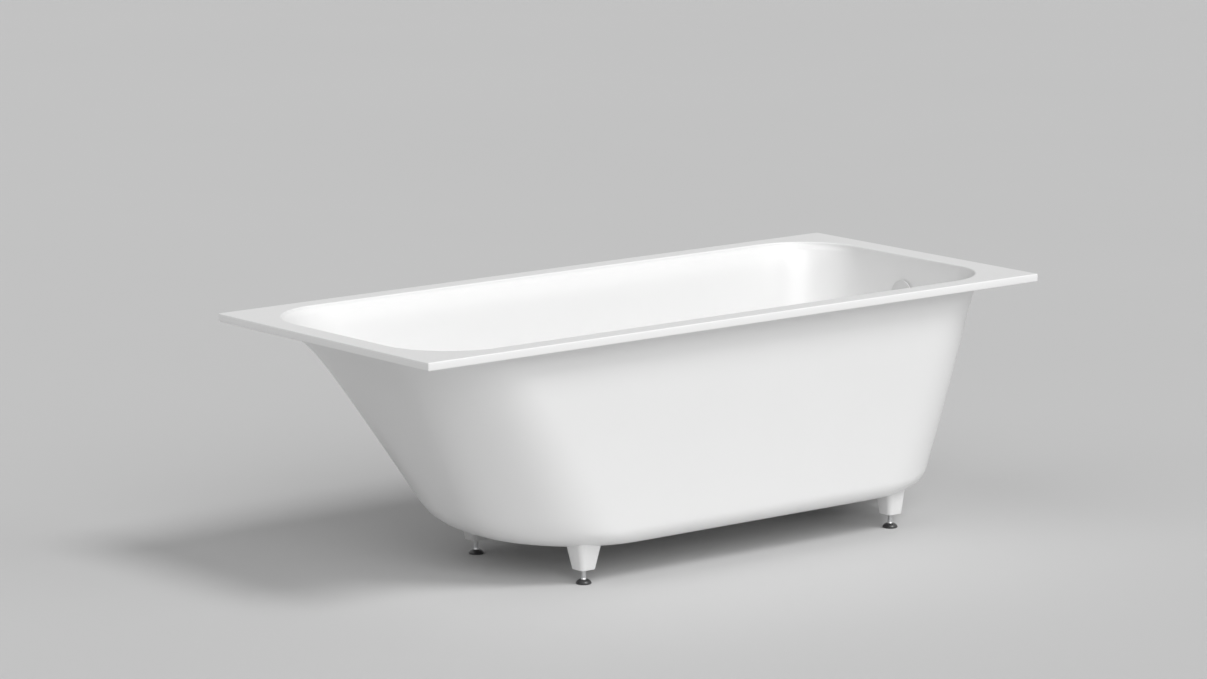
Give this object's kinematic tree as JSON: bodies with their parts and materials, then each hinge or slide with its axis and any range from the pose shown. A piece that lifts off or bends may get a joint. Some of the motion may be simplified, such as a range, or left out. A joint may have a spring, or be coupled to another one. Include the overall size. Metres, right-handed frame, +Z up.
{
  "type": "built-in bathtub",
  "caption": "Rectangular built-in bathtub with a flat rim, sloping head end, levelling feet, overflow and push-open waste.",
  "frame": {"origin": "on the floor, under the middle of the rim", "axes": "+X to the foot end with the overflow, +Y to the long side that stands against the wall, +Z up"},
  "size_m": [1.7, 0.75, 0.573],
  "materials": {
    "cast_white": "satin cast mineral with a smooth gelcoat",
    "insert_brass": "turned",
    "rod_steel": "zinc plated, rolled thread",
    "pad_black": "moulded, satin",
    "seal_rubber": "moulded",
    "seal_white": "soft foam",
    "chrome": "polished",
    "cover_white": "satin",
    "fittings_grey": "moulded polypropylene",
    "pipe_white": "extruded",
    "spring_steel": "drawn wire"
  },
  "bodies": {
    "tub": {"insert_foot_back": "insert_brass", "insert_foot_front": "insert_brass", "insert_head_back": "insert_brass", "insert_head_front": "insert_brass", "leg_foot_back": "cast_white", "leg_foot_front": "cast_white", "leg_head_back": "cast_white", "leg_head_front": "cast_white", "overflow_cover": "cover_white", "overflow_elbow": "fittings_grey", "overflow_flange": "chrome", "overflow_gasket": "seal_rubber", "overflow_lip_seal": "seal_white", "overflow_pipe": "pipe_white", "overflow_screw": "rod_steel", "pipe_ring_lower": "seal_rubber", "pipe_ring_upper": "seal_rubber", "plug_cartridge": "chrome", "plug_spring": "spring_steel", "tub_shell": "cast_white", "union_nut_lower": "fittings_grey", "union_nut_upper": "fittings_grey", "waste_body": "fittings_grey", "waste_flange": "chrome", "waste_gasket": "seal_rubber", "waste_lip_seal": "seal_white"},
    "plug": {"plug_stem": "chrome", "plug_cap": "chrome", "plug_seal": "seal_rubber"},
    "pad_head_front": {"pad_head_front": "pad_black"},
    "rod_head_front": {"rod_head_front": "rod_steel"},
    "pad_head_back": {"pad_head_back": "pad_black"},
    "rod_head_back": {"rod_head_back": "rod_steel"},
    "pad_foot_front": {"pad_foot_front": "pad_black"},
    "rod_foot_front": {"rod_foot_front": "rod_steel"},
    "pad_foot_back": {"pad_foot_back": "pad_black"},
    "rod_foot_back": {"rod_foot_back": "rod_steel"}
  },
  "joints": [
    {"name": "plug_lift", "type": "slide", "parent": "tub", "child": "plug", "axis": [0, 0, 1], "range_m": [0, 0.008], "deforming": ["plug_spring"]},
    {"name": "raise_head_front", "type": "slide", "parent": "tub", "child": "pad_head_front", "axis": [0, 0, 1], "range_m": [-0.018, 0.012]},
    {"name": "turn_head_front", "type": "hinge", "parent": "pad_head_front", "child": "rod_head_front", "pos_m": [-0.3015, -0.189, 0], "axis": [0, 0, 1], "range_deg": [-3702.9, 2468.6]},
    {"name": "raise_head_back", "type": "slide", "parent": "tub", "child": "pad_head_back", "axis": [0, 0, 1], "range_m": [-0.018, 0.012]},
    {"name": "turn_head_back", "type": "hinge", "parent": "pad_head_back", "child": "rod_head_back", "pos_m": [-0.3015, 0.189, 0], "axis": [0, 0, 1], "range_deg": [-3702.9, 2468.6]},
    {"name": "raise_foot_front", "type": "slide", "parent": "tub", "child": "pad_foot_front", "axis": [0, 0, 1], "range_m": [-0.018, 0.012]},
    {"name": "turn_foot_front", "type": "hinge", "parent": "pad_foot_front", "child": "rod_foot_front", "pos_m": [0.579, -0.189, 0], "axis": [0, 0, 1], "range_deg": [-3702.9, 2468.6]},
    {"name": "raise_foot_back", "type": "slide", "parent": "tub", "child": "pad_foot_back", "axis": [0, 0, 1], "range_m": [-0.018, 0.012]},
    {"name": "turn_foot_back", "type": "hinge", "parent": "pad_foot_back", "child": "rod_foot_back", "pos_m": [0.579, 0.189, 0], "axis": [0, 0, 1], "range_deg": [-3702.9, 2468.6]}
  ],
  "couplings": [
    {"joint": "turn_head_front", "follows": "raise_head_front", "rad_per_m": 3590.4},
    {"joint": "turn_head_back", "follows": "raise_head_back", "rad_per_m": 3590.4},
    {"joint": "turn_foot_front", "follows": "raise_foot_front", "rad_per_m": 3590.4},
    {"joint": "turn_foot_back", "follows": "raise_foot_back", "rad_per_m": 3590.4}
  ]
}
